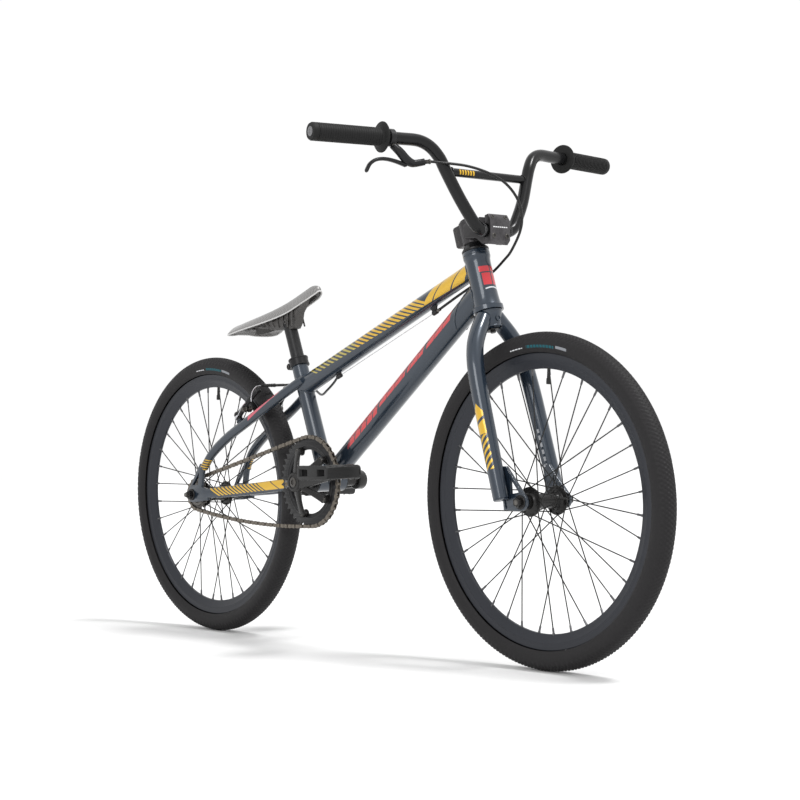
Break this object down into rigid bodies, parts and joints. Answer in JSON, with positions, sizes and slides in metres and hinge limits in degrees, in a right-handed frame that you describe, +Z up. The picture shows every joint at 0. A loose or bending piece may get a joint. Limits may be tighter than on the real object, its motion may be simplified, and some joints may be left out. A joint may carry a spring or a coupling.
{
  "type": "bmx bike",
  "caption": "Race BMX bicycle with an aluminium frame, rigid fork, crossbar handlebar, rear rim brake and single-speed chain drive.",
  "frame": {"origin": "on the ground, midway between the wheels, in the bike's middle plane", "axes": "+X forward, +Y to the rider's left, +Z up"},
  "size_m": [1.588, 0.7326, 0.9575],
  "materials": {
    "frame_paint": "glossy dark slate-blue metallic paint with yellow and red stripes",
    "black_alloy": "semi-gloss black anodising",
    "black_steel": "semi-gloss black",
    "dark_steel": "dark oiled steel",
    "bright_steel": "bare stranded steel",
    "tyre": "matt black rubber, fine raised tread",
    "grip_rubber": "matt black soft rubber",
    "black_plastic": "matt black",
    "saddle_shell": "smoky grey shell with a woven look"
  },
  "bodies": {
    "frame": {"head_tube": "frame_paint", "top_tube": "frame_paint", "down_tube": "frame_paint", "seat_tube": "frame_paint", "bottom_bracket_shell": "frame_paint", "seat_stay_right": "frame_paint", "seat_stay_left": "frame_paint", "chain_stay_right": "frame_paint", "chain_stay_left": "frame_paint", "dropout_right": "frame_paint", "dropout_left": "frame_paint", "headset_bearing_upper": "dark_steel", "headset_bearing_lower": "dark_steel", "bracket_cup_right": "black_alloy", "bracket_cup_left": "black_alloy", "seat_clamp": "black_alloy", "rear_axle": "dark_steel", "rear_axle_nut_right": "black_steel", "rear_axle_nut_left": "black_steel", "chain": "dark_steel", "brake_wire": "bright_steel", "brake_housing_rear": "black_plastic"},
    "seat": {"seat_post": "black_alloy", "saddle": "saddle_shell"},
    "steering": {"fork_crown": "frame_paint", "fork_leg_right": "frame_paint", "fork_leg_left": "frame_paint", "headset_cover": "black_alloy", "stem": "black_alloy", "stem_face_plate": "black_alloy", "top_cap": "black_alloy", "handlebar": "black_alloy", "grip_right": "grip_rubber", "grip_left": "grip_rubber", "lever_bracket": "black_alloy", "front_axle": "dark_steel", "front_axle_nut_right": "black_steel", "front_axle_nut_left": "black_steel", "brake_housing_front": "black_plastic"},
    "brake_lever": {"brake_lever": "black_alloy"},
    "front_wheel": {"front_tyre": "tyre", "front_rim": "black_alloy", "front_hub": "black_alloy", "front_spokes_right": "black_steel", "front_spokes_left": "black_steel"},
    "rear_wheel": {"rear_tyre": "tyre", "rear_rim": "black_alloy", "rear_hub": "black_alloy", "rear_spokes_right": "black_steel", "rear_spokes_left": "black_steel"},
    "freewheel": {"freewheel_cog": "dark_steel"},
    "crankset": {"crank_left": "black_steel", "crank_right": "black_steel", "chainring": "black_alloy", "pedal_axle_right": "dark_steel", "pedal_axle_left": "dark_steel"},
    "pedal_right": {"pedal_right": "black_plastic"},
    "pedal_left": {"pedal_left": "black_plastic"},
    "brake_arm_right": {"brake_arm_right": "black_alloy"},
    "brake_arm_left": {"brake_arm_left": "black_alloy"}
  },
  "joints": [
    {"name": "steering_turn", "type": "hinge", "parent": "frame", "child": "steering", "pos_m": [0.37124, 0, 0.6326], "axis": [-0.2723, 0, 0.9622], "range_deg": [-85, 85], "deforming": ["brake_housing_front"]},
    {"name": "front_wheel_spin", "type": "hinge", "parent": "steering", "child": "front_wheel", "pos_m": [0.499, 0, 0.295], "axis": [0, 1, 0], "continuous": true},
    {"name": "rear_wheel_spin", "type": "hinge", "parent": "frame", "child": "rear_wheel", "pos_m": [-0.499, 0, 0.295], "axis": [0, 1, 0], "continuous": true},
    {"name": "crank_spin", "type": "hinge", "parent": "frame", "child": "crankset", "pos_m": [-0.10458, 0, 0.3255], "axis": [0, 1, 0], "continuous": true, "deforming": ["chain"]},
    {"name": "freewheel_spin", "type": "hinge", "parent": "frame", "child": "freewheel", "pos_m": [-0.499, 0, 0.295], "axis": [0, 1, 0], "continuous": true},
    {"name": "pedal_right_spin", "type": "hinge", "parent": "crankset", "child": "pedal_right", "pos_m": [0.07209, -0.137, 0.34719], "axis": [0, 1, 0], "continuous": true},
    {"name": "pedal_left_spin", "type": "hinge", "parent": "crankset", "child": "pedal_left", "pos_m": [-0.28125, 0.137, 0.30381], "axis": [0, 1, 0], "continuous": true},
    {"name": "brake_lever_pull", "type": "hinge", "parent": "steering", "child": "brake_lever", "pos_m": [0.358, -0.18, 0.884], "axis": [-0.9659, 0, -0.2588], "range_deg": [0, 10], "stiffness_Nm_per_rad": 3, "springref_deg": -5.73},
    {"name": "brake_arm_right_turn", "type": "hinge", "parent": "frame", "child": "brake_arm_right", "pos_m": [-0.345, -0.043, 0.456], "axis": [-0.6428, 0, 0.766], "range_deg": [0, 3.5], "deforming": ["brake_housing_rear"]},
    {"name": "brake_arm_left_turn", "type": "hinge", "parent": "frame", "child": "brake_arm_left", "pos_m": [-0.345, 0.043, 0.456], "axis": [-0.6428, 0, 0.766], "range_deg": [-3.5, 0], "deforming": ["brake_housing_rear"]},
    {"name": "seat_height", "type": "slide", "parent": "frame", "child": "seat", "axis": [-0.342, 0, 0.9397], "range_m": [-0.04, 0.03]}
  ],
  "couplings": [
    {"joint": "freewheel_spin", "follows": "crank_spin", "ratio": 2.75},
    {"joint": "brake_arm_right_turn", "follows": "brake_lever_pull", "ratio": 0.3},
    {"joint": "brake_arm_left_turn", "follows": "brake_lever_pull", "ratio": -0.3}
  ]
}
